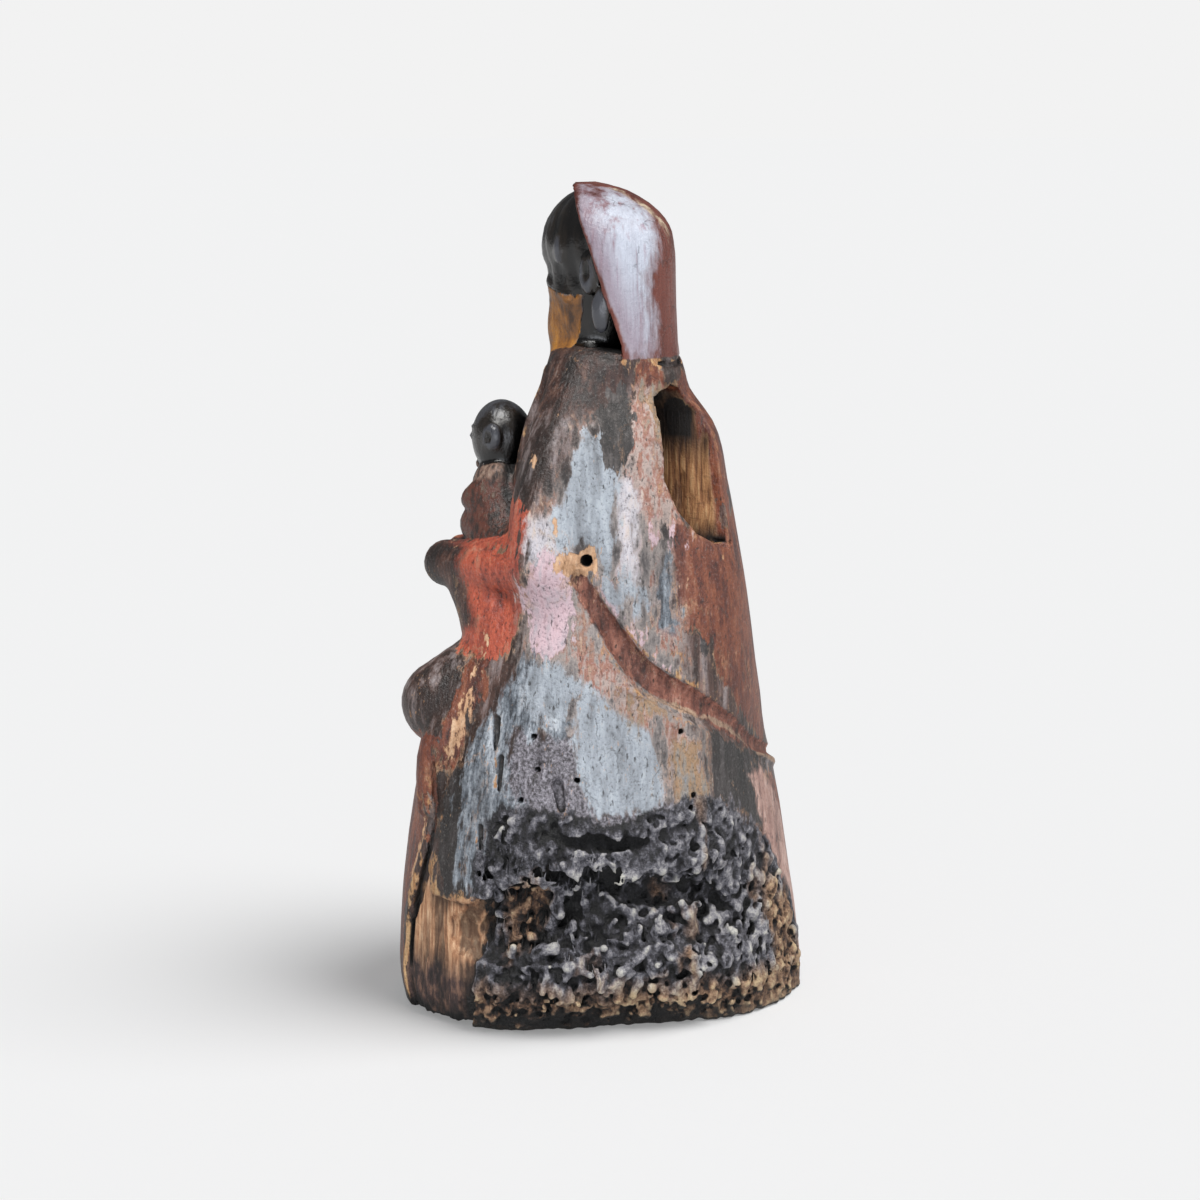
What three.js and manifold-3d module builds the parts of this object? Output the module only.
// A seated bodhisattva with a child, carved from one block of wood and old enough
// to have rotted at the foot. Millimetres, +Z up. The figure faces -Y, so its left
// hand is at +X. The origin is the middle of the underside.
import * as THREE from "three";
import { mergeVertices } from "three/addons/utils/BufferGeometryUtils.js";
import Module from "manifold-3d";

const wasm = await Module();
wasm.setup();

// Driving sizes
const HOOD_TOP = 240;
const HOOD_RADIUS = 18.6;
const HOOD_DOME = 27; // height of the rounded top above the wall
const CHIN_Z = 190;
const SHOULDER_Z = 171;
const ELBOW = [31, 2, 134];
const KNEE = [36, -31.5, 90];
const LAP_Z = 88;
const CHILD_HEAD = [15, -26, 166];
const FACE_Y = -15.4; // the face's front, before the axis
const EYE_Z = 201.5;
const FLAT_SIDE = 45; // the block's flattened corner, in degrees from the left towards the back
const FLAT_BLEND = 16; // how softly the flat runs out into the round
const CAVITY_FLOOR_Y = 9;
const PAST_THE_SKIN = 50; // length of a cutter that has to come out of the back
const NAIL_HOLE = { side: 26.5, z: 135.7, radius: 1.7, deep: 9 };
const FOLD = 1.4; // half the width of a carved fold
const RIDGE_BELOW = 3.6; // how far under the hem's groove its raised line runs
const UPRIGHT = [0, 0, 0];
const CROWN_LEAVES = [-160, -125, -90, -55, -20]; // directions of the crown's leaves, in degrees
const SMALL = { sides: 6, rings: 6 }; // facets of the small forms
const CAP_SHARE = 0.25; // the part of a limb's rings that each round cap takes
const MERGE = 1e-3; // vertices closer than this are one

// The block from underside to neck: height, half width, depth before the axis and behind it,
// squareness of the plan, and how far the flattened corner stands from the axis
const BLOCK = [
  { z: 0, wide: 54.5, front: 52.5, back: 52.5, square: 3, flat: 37 },
  { z: 8, wide: 56, front: 54, back: 51.5, square: 3, flat: 39.5 },
  { z: 20, wide: 56, front: 54, back: 50, square: 3, flat: 44 },
  { z: 45, wide: 54.5, front: 52, back: 46, square: 2.9, flat: 47 },
  { z: 57, wide: 53, front: 51, back: 45, square: 2.8, flat: 46.5 },
  { z: 70, wide: 50.5, front: 49.5, back: 43.5, square: 2.7, flat: 45.5 },
  { z: 76, wide: 49, front: 48, back: 42.6, square: 2.6, flat: 45 },
  { z: 92, wide: 44, front: 40, back: 43, square: 2.4, flat: 43.5 },
  { z: 112, wide: 39, front: 28, back: 42.4, square: 2.3, flat: 41.5 },
  { z: 129, wide: 36, front: 22, back: 40.7, square: 2.2, flat: 39.5 },
  { z: 153, wide: 32, front: 18, back: 36.4, square: 2.2, flat: 35.5 },
  { z: SHOULDER_Z, wide: 27, front: 14.5, back: 32.5, square: 2.2, flat: 31 },
  { z: 182, wide: 20, front: 14, back: 25, square: 2.2, flat: 27 },
  { z: CHIN_Z, wide: 16, front: 12, back: 23, square: 2.2, flat: 26 },
];
const BLOCK_SIDES = 32;
const BLOCK_RING_STEP = 9.5;

// Places on the hood's front edge, and how many degrees it leans forward there
const HOOD_EDGE = [
  { y: 9.5, z: 215, lean: 14.7 },
  { y: 4.4, z: 226, lean: 38 },
];

// The mantle's hem round the back, as sides in degrees and heights: it starts high
// behind the left elbow and falls towards the right knee
const HEM = [
  [24, 131],
  [38, 116],
  [54, 103.5],
  [76, 94],
  [96, 85],
  [114, 77],
  [135, 71],
  [158, 68],
];

// The swags of cloth before the throne: how many degrees each reaches to either side, and
// the height of its lowest point
const SWAGS = [
  [33, 43],
  [23, 53],
  [13, 62],
];

// The cavity's mouth on the back: across, from the figure's right to its left, and height
const CAVITY_MOUTH = [
  [-6.5, 175],
  [-7.5, 150],
  [-6, 136],
  [1, 138.5],
  [7, 142],
  [11, 148.5],
  [13, 157],
  [11, 170],
  [7.5, 180],
  [2, 184],
  [-2, 181],
];

// The rotted band round the flattened corner: the middle line of what is gone, as sides,
// heights and distances from the axis
const ROT_BAND = [
  [-16, 26, 66],
  [0, 31, 59],
  [20, 34, 53.5],
  [45, 35, 51.5],
  [66, 36, 52],
  [84, 38, 53],
  [98, 38, 57],
  [110, 32, 64],
];
const ROT_BAND_THICK = [9, 12, 13.5, 13, 13, 13, 13, 10];

// A shallower shelf above the band, in the same terms
const ROT_SHELF = [
  [40, 57, 52],
  [56, 60, 50.5],
  [74, 61.5, 50],
  [90, 59, 50.5],
];
const ROT_SHELF_THICK = [5, 6.5, 7, 6];

// Deeper hollows in the band: side, height, distance from the axis, and half sizes
const ROT = [
  { side: 6, z: 36, out: 53, size: [11, 9, 10] },
  { side: 31, z: 34, out: 47, size: [10, 10, 11] },
  { side: 58, z: 38, out: 46.5, size: [10, 11, 10] },
  { side: 79, z: 33, out: 47, size: [10, 9, 13] },
  { side: 95, z: 40, out: 54.5, size: [11, 12, 21] },
];

// Lumps of harder wood left standing in the rot
const ROT_LUMPS = [
  { side: 18, z: 25, out: 38, size: [7, 6, 6] },
  { side: 38, z: 27, out: 36, size: [6, 6, 5] },
  { side: 52, z: 23, out: 37, size: [7, 7, 5] },
  { side: 67, z: 28, out: 37, size: [6, 5, 7] },
  { side: 86, z: 24, out: 41, size: [6, 5, 6] },
];

const degrees = THREE.MathUtils.degToRad;
const at = (p) => new THREE.Vector3(...p);
const mirrored = (path, side) => path.map(([x, y, z]) => [side * x, y, z]);

// A smooth line through the stations' values, read at any height
const blockKeys = ["wide", "front", "back", "square", "flat"];
const blockLine = new THREE.CubicInterpolant(
  BLOCK.map((s) => s.z),
  BLOCK.flatMap((s) => blockKeys.map((key) => s[key])),
  blockKeys.length,
  new Float64Array(blockKeys.length),
);

// The smaller of two lengths, with a rounded passage from one to the other
function softLess(a, b, blend) {
  const share = THREE.MathUtils.clamp(0.5 + (0.5 * (b - a)) / blend, 0, 1);
  return THREE.MathUtils.lerp(b, a, share) - blend * share * (1 - share);
}

// The point of the block's skin at an angle of its curve, counted from +X towards +Y, and a height
function blockSkin(angle, z) {
  const [wide, front, back, square, flat] = blockLine.evaluate(z);
  const bend = (v) => Math.sign(v) * Math.abs(v) ** (2 / square);
  const c = bend(Math.cos(angle));
  const s = bend(Math.sin(angle));
  const point = new THREE.Vector3(wide * c, (s > 0 ? back : front) * s, z);
  const towards = new THREE.Vector3(Math.cos(degrees(FLAT_SIDE)), Math.sin(degrees(FLAT_SIDE)), 0);
  const reach = point.dot(towards);
  return point.addScaledVector(towards, softLess(reach, flat, FLAT_BLEND) - reach);
}

// The point of the skin seen in a direction, in degrees from the figure's left towards its back
function onSkin(side, z, lift = 0) {
  const wanted = degrees(side);
  let angle = wanted;
  let point = blockSkin(angle, z);
  for (let i = 0; i < 12; i++) {
    const miss = wanted - Math.atan2(point.y, point.x);
    angle += Math.atan2(Math.sin(miss), Math.cos(miss));
    point = blockSkin(angle, z);
  }
  const away = Math.hypot(point.x, point.y) + lift;
  return [away * Math.cos(wanted), away * Math.sin(wanted), z];
}

// Three.js geometry to a solid that can be joined and cut
function solid(geometry) {
  geometry.deleteAttribute("normal");
  geometry.deleteAttribute("uv");
  const merged = mergeVertices(geometry, MERGE);
  return new wasm.Manifold(
    new wasm.Mesh({
      numProp: 3,
      vertProperties: new Float32Array(merged.attributes.position.array),
      triVerts: new Uint32Array(merged.index.array),
    }),
  );
}

const joined = (parts) => parts.reduce((sum, part) => sum.add(part));

// Every vertex of a geometry moved by a rule
function reshaped(geometry, rule) {
  const position = geometry.attributes.position;
  const v = new THREE.Vector3();
  for (let i = 0; i < position.count; i++) {
    const moved = rule(v.fromBufferAttribute(position, i));
    position.setXYZ(i, moved.x, moved.y, moved.z);
  }
  return geometry;
}

function placed(geometry, centre, turn) {
  const turned = new THREE.Matrix4().makeRotationFromEuler(new THREE.Euler(...turn.map(degrees)));
  return solid(geometry.applyMatrix4(turned).translate(...centre));
}

function ball(centre, size, turn = UPRIGHT, sides = 10) {
  const rings = Math.round(sides * 0.6);
  const geometry = new THREE.SphereGeometry(1, sides, rings).rotateX(Math.PI / 2);
  return placed(geometry.scale(...size), centre, turn);
}

function box(centre, size, turn = UPRIGHT) {
  return placed(new THREE.BoxGeometry(...size), centre, turn);
}

// A value read along a short list, from its first entry at 0 to its last at 1
function read(list, t) {
  const place = THREE.MathUtils.clamp(t, 0, 1) * (list.length - 1);
  const i = Math.min(Math.floor(place), list.length - 2);
  return THREE.MathUtils.lerp(list[i], list[i + 1], place - i);
}

// A sphere drawn out along a curve: a round cap on each end, and half thicknesses from a
// list between them
function limb(path, thick, { sides = 8, rings = 8, tall = 1, capLong = 1 } = {}) {
  const curve = new THREE.CatmullRomCurve3(path.map(at));
  const geometry = new THREE.SphereGeometry(1, sides, rings);
  const whole = at(path.at(-1)).sub(at(path[0])).normalize();
  const guide = Math.abs(whole.z) > 0.7 ? new THREE.Vector3(0, 1, 0) : new THREE.Vector3(0, 0, 1);
  reshaped(geometry, (v) => {
    const share = Math.acos(THREE.MathUtils.clamp(-v.y, -1, 1)) / Math.PI;
    const t = THREE.MathUtils.clamp((share - CAP_SHARE) / (1 - 2 * CAP_SHARE), 0, 1);
    const capTurn = (Math.PI / 2) * Math.min(share / CAP_SHARE, (1 - share) / CAP_SHARE, 1);
    const tangent = curve.getTangent(t);
    const across = guide.clone().cross(tangent).normalize();
    const upward = across.clone().cross(tangent);
    const half = read(thick, t);
    const swell = (half * Math.sin(capTurn)) / Math.max(Math.hypot(v.x, v.z), 1e-9);
    const beyond = half * Math.cos(capTurn) * (share < 0.5 ? -capLong : capLong);
    return curve
      .getPoint(t)
      .addScaledVector(tangent, beyond)
      .addScaledVector(across, v.x * swell)
      .addScaledVector(upward, v.z * swell * tall);
  });
  return solid(geometry);
}

function block() {
  const rings = Math.round(CHIN_Z / BLOCK_RING_STEP);
  const geometry = new THREE.CylinderGeometry(1, 1, 1, BLOCK_SIDES, rings);
  geometry.rotateX(Math.PI / 2);
  return solid(
    reshaped(geometry, (v) => {
      const z = (v.z + 0.5) * CHIN_Z;
      return Math.hypot(v.x, v.y) < 0.5 ? v.set(0, 0, z) : blockSkin(Math.atan2(v.y, v.x), z);
    }),
  );
}

// The hood: a dome and a wall behind the head, cut away in front along an edge that
// leans further forward at the top
function hood() {
  const wall = [[0, 4.5, CHIN_Z + 2], [0, 2.5, HOOD_TOP - HOOD_DOME]];
  const thick = [HOOD_RADIUS - 0.8, HOOD_RADIUS - 0.3, HOOD_RADIUS];
  const whole = limb(wall, thick, { sides: 20, rings: 16, capLong: HOOD_DOME / HOOD_RADIUS });
  const behind = HOOD_EDGE.map(({ y, z, lean }) => {
    const turn = degrees(lean);
    return box([0, y + 40 * Math.cos(turn), z + 40 * Math.sin(turn)], [80, 80, 160], [lean, 0, 0]);
  });
  return whole.intersect(joined(behind));
}

// The face is a plain calm one: closed lids, a straight nose, small lips and long ears
function head() {
  const lid = [[2.6, FACE_Y, EYE_Z], [5.6, FACE_Y + 0.9, EYE_Z - 0.7], [8.6, FACE_Y + 3.2, EYE_Z + 0.4]];
  const hairline = [[1, -15.6, 213.5], [9, -12.2, 211.5], [13.6, -3, 206]];
  const sides = [1, -1].flatMap((side) => [
    ball([side * 15, 5.6, 214.5], [2.6, 3.4, 6], UPRIGHT, 7),
    ball([side * 14.8, 9.2, 204.5], [2.5, 2.8, 6.5], UPRIGHT, 7),
    limb(mirrored(lid, side), [1, 1.8, 1], SMALL),
    limb(mirrored(hairline, side), [2.1, 2.5, 2], { sides: 6 }),
  ]);
  const leaves = CROWN_LEAVES.map((turn) => {
    const angle = degrees(turn);
    const size = turn === -90 ? [1.8, 3.4, 6.4] : [1.8, 2.9, 4.6];
    return ball([15.6 * Math.cos(angle), 16.6 * Math.sin(angle), 221], size, [0, 0, turn], 6);
  });
  const bridge = [[0, FACE_Y, EYE_Z + 3], [0, FACE_Y - 1.2, EYE_Z], [0, FACE_Y - 1.9, EYE_Z - 3.2]];
  return joined([
    ball([0, -1.8, 203], [13.6, 13.8, 15.5], UPRIGHT, 14),
    ball([0, 0.3, 219], [16, 17.4, 17.6], UPRIGHT, 14),
    limb([[0, 1, 170], [0, 0, 200]], [11, 9.4]),
    limb(bridge, [0.7, 1.2, 1.8], SMALL),
    ball([0, FACE_Y + 1.1, EYE_Z - 6.6], [2.7, 1.5, 0.8], UPRIGHT, 7),
    ball([0, FACE_Y + 1.6, EYE_Z - 8], [2.1, 1.4, 0.8], UPRIGHT, 7),
    ...leaves,
    ...sides,
  ]);
}

function child() {
  const [x, y, z] = CHILD_HEAD;
  const ears = [1, -1].map((side) => ball([x + side * 8, y + 2.5, z + 1], [1.6, 2.6, 3.4], UPRIGHT, 7));
  const trunk = [[x + 0.5, y, 159], [x + 3, y + 2, 150], [x + 6, y + 3, 139]];
  const leftArm = [[x + 7, y + 4, 156], [x + 9, y - 3, 149], [x + 2, y - 9, 148]];
  const rightArm = [[x - 4, y + 2, 156], [x - 8, y - 5, 150], [x - 4, y - 10, 149]];
  const leftLeg = [[23, -19, 141], [18.3, -28.5, 144], [8, -36, 137]];
  const rightLeg = [[14, -20, 140], [5, -30, 143], [0, -38, 136]];
  const wrap = [[21, -29, 141], [26, -18, 138], [32, -3, 134]];
  return joined([
    ball(CHILD_HEAD, [8.4, 9.2, 11], UPRIGHT, 12),
    limb(trunk, [4.6, 8.4, 9.4, 9]),
    limb(leftArm, [3.6, 3.8, 3], SMALL),
    limb(rightArm, [3.6, 3.8, 3], SMALL),
    limb(leftLeg, [7.5, 7.2, 6.4, 5]),
    limb(rightLeg, [7, 6.4, 5.8, 4.6]),
    limb(wrap, [6.5, 6.6, 6]),
    ...ears,
  ]);
}

function hand(wrist, knuckles, side) {
  const [x, y, z] = knuckles;
  const fingers = [-1.5, -0.5, 0.5, 1.5].map((k) => {
    const bend = [x - side * 4.5, y - 1.2, z + k * 2.6];
    const tip = [x - side * 8, y + 1.5, z + k * 2.4];
    return limb([[x, y, z + k * 2.7], bend, tip], [1.5, 1.5, 1.2], { sides: 5, rings: 5 });
  });
  return joined([limb([wrist, knuckles], [4.6, 5.4, 5], { tall: 1.1 }), ...fingers]);
}

// Upper arm, forearm in a wide sleeve, hand, and the sleeve's fall down over the knee
function arm(side) {
  const cuff = side > 0 ? [27, -37.5, 129.5] : [-20, -33, 129];
  const knuckles = side > 0 ? [14, -43, 130] : [-8, -40.5, 131];
  const upper = mirrored([[17, 3, 178], [24, 3, 163], [28.5, 2, 148], ELBOW], side);
  const fore = mirrored([ELBOW, [30.5, -17, 131]], side);
  const sleeve = mirrored([[29, -23, 125], [30.5, -15, 115], [31, -12, 103]], side);
  const fall = mirrored([[31, -10, 112], [36, -17, 96], [44.5, -26, 80], [46, -29, 62]], side);
  return joined([
    limb(upper, [7, 9.5, 10.5, 10.5], { sides: 10 }),
    limb([...fore, cuff], [10, 9.2, 7.6, 6.8], { sides: 10 }),
    limb(sleeve, [7.5, 8.5, 8.5], { tall: 1.6 }),
    limb(fall, [7, 7.5, 6.5, 4.5]),
    hand(cuff, knuckles, side),
  ]);
}

function lap() {
  const thighs = [1, -1].map((side) =>
    limb(mirrored([[18, 0, 104], [27, -18, 98], KNEE], side), [16, 15.5, 14, 12.5], { sides: 10 }),
  );
  const foot = [[-12, -45, LAP_Z + 7], [0, -50, LAP_Z + 7], [13, -50, LAP_Z + 5]];
  const shin = [KNEE, [20, -40, LAP_Z - 2]];
  const shins = [...shin, [0, -43, LAP_Z - 2], ...mirrored(shin, -1).reverse()];
  return joined([
    limb(shins, [11.5, 12.5, 12.5, 12.5, 11.5], { sides: 10, rings: 12 }),
    limb([[20, -26, 100], [0, -30, 99], [-20, -26, 100]], [10, 11, 10], { rings: 6 }),
    limb(foot, [3.6, 5, 3.4], { rings: 6 }),
    ...thighs,
  ]);
}

// Crossing collars on the chest, and the hem's ridge round the back
function edges() {
  const ridge = HEM.slice(2).map(([side, z]) => onSkin(side, z - RIDGE_BELOW, 0.2));
  return joined([
    limb([[11, -7, 186], [8, -13.5, 178], [0, -17, 167], [-7, -18.5, 156]], [2.4, 2.6, 2.4]),
    limb([[-11, -7, 186], [-8, -13.5, 178], [0, -16.5, 167], [8, -18, 157]], [2.4, 2.6, 2.4]),
    limb(ridge, [1.4, 1.8, 1.9, 1.9, 1.8, 1.3], { sides: 5, rings: 12 }),
  ]);
}

// The neck's opening in front, cut before the head goes in
function neckline() {
  return ball([0, -17, CHIN_Z], [12, 15, 13], [-12, 0, 0], 12);
}

// Grooves: the hem round the back, the folds over the lap and the swags of cloth before the throne
function grooves() {
  const hem = HEM.map(([side, z]) => onSkin(side, z, 0.4));
  const lapFolds = [-27, -18, 22, 30].map((x) => {
    const out = Math.abs(x);
    const top = [x * 0.9, -43 + out * 0.12, 101.5];
    const knee = [x, -52 + out * 0.2, 95];
    const bottom = [x * 1.06, -55 + out * 0.22, 84];
    return limb([top, knee, bottom], [0.8, FOLD, 1], SMALL);
  });
  const swags = SWAGS.map(([reach, low]) => {
    const places = [[-1, 74], [-0.75, low + 9], [0, low], [0.75, low + 9], [1, 74]];
    const path = places.map(([k, z]) => onSkin(-90 + k * reach, z, 0.5));
    return limb(path, [0.9, 1.6, 2, 1.6, 0.9], { sides: 5, rings: 8 });
  });
  return joined([
    limb(hem, [2.4, 3.3, 3.6, 3.2, 2.6, 2.2, 1.8, 1], { sides: 6, rings: 16 }),
    ...lapFolds,
    ...swags,
  ]);
}

// The hollow for offerings in the back, cut straight in from its mouth
function cavity() {
  const mouth = new THREE.Shape(CAVITY_MOUTH.map(([x, z]) => new THREE.Vector2(x, z)));
  const geometry = new THREE.ExtrudeGeometry(mouth, { depth: PAST_THE_SKIN, bevelEnabled: false });
  return solid(geometry.rotateX(Math.PI / 2).translate(0, CAVITY_FLOOR_Y + PAST_THE_SKIN, 0));
}

function nailHole() {
  const { side, z, radius, deep } = NAIL_HOLE;
  const geometry = new THREE.CylinderGeometry(radius, radius, 2 * deep, 8).rotateZ(Math.PI / 2);
  return placed(geometry, onSkin(side, z), [0, 0, side]);
}

const fromAxis = (side, z, out) => [out * Math.cos(degrees(side)), out * Math.sin(degrees(side)), z];

function rotBand(places, thick, facets) {
  return limb(places.map((place) => fromAxis(...place)), thick, facets);
}

function aroundFoot({ side, z, out, size }) {
  return ball(fromAxis(side, z, out), size, [0, 0, side], 8);
}

function statue() {
  const body = block().subtract(neckline());
  const figure = joined([body, hood(), head(), child(), arm(1), arm(-1), lap(), edges()]);
  const rot = [
    rotBand(ROT_BAND, ROT_BAND_THICK, { sides: 8, rings: 16 }),
    rotBand(ROT_SHELF, ROT_SHELF_THICK, { sides: 7, rings: 8 }),
    ...ROT.map(aroundFoot),
  ];
  const cuts = joined([...rot, cavity(), nailHole(), grooves()]);
  const carved = figure.subtract(cuts).add(joined(ROT_LUMPS.map(aroundFoot)));
  return carved.intersect(box([0, 0, HOOD_TOP], [400, 400, 2 * HOOD_TOP]));
}

// The shell of a solid as three.js geometry
function shellOf(carved) {
  const mesh = carved.getMesh();
  const geometry = new THREE.BufferGeometry();
  geometry.setAttribute("position", new THREE.BufferAttribute(mesh.vertProperties, 3));
  geometry.setIndex(new THREE.BufferAttribute(mesh.triVerts, 1));
  return geometry;
}

// The wood in one closed body: hollows that the joined forms shut in are filled, loose crumbs left out
function oneBody(carved) {
  const bodies = solid(shellOf(carved)).decompose();
  const largest = bodies.sort((a, b) => b.volume() - a.volume())[0];
  return bodies.length > 1 ? oneBody(largest) : shellOf(largest);
}

const geometry = oneBody(statue());
geometry.computeBoundingBox();
const middle = geometry.boundingBox.getCenter(new THREE.Vector3());
geometry.translate(-middle.x, -middle.y, 0);
geometry.computeVertexNormals();

const wood = new THREE.MeshStandardMaterial({ color: 0x6b4034, roughness: 0.6, metalness: 0 });
const figure = new THREE.Mesh(geometry, wood);
figure.name = "bodhisattva_statue";
const part = new THREE.Group();
part.add(figure);
export default part;
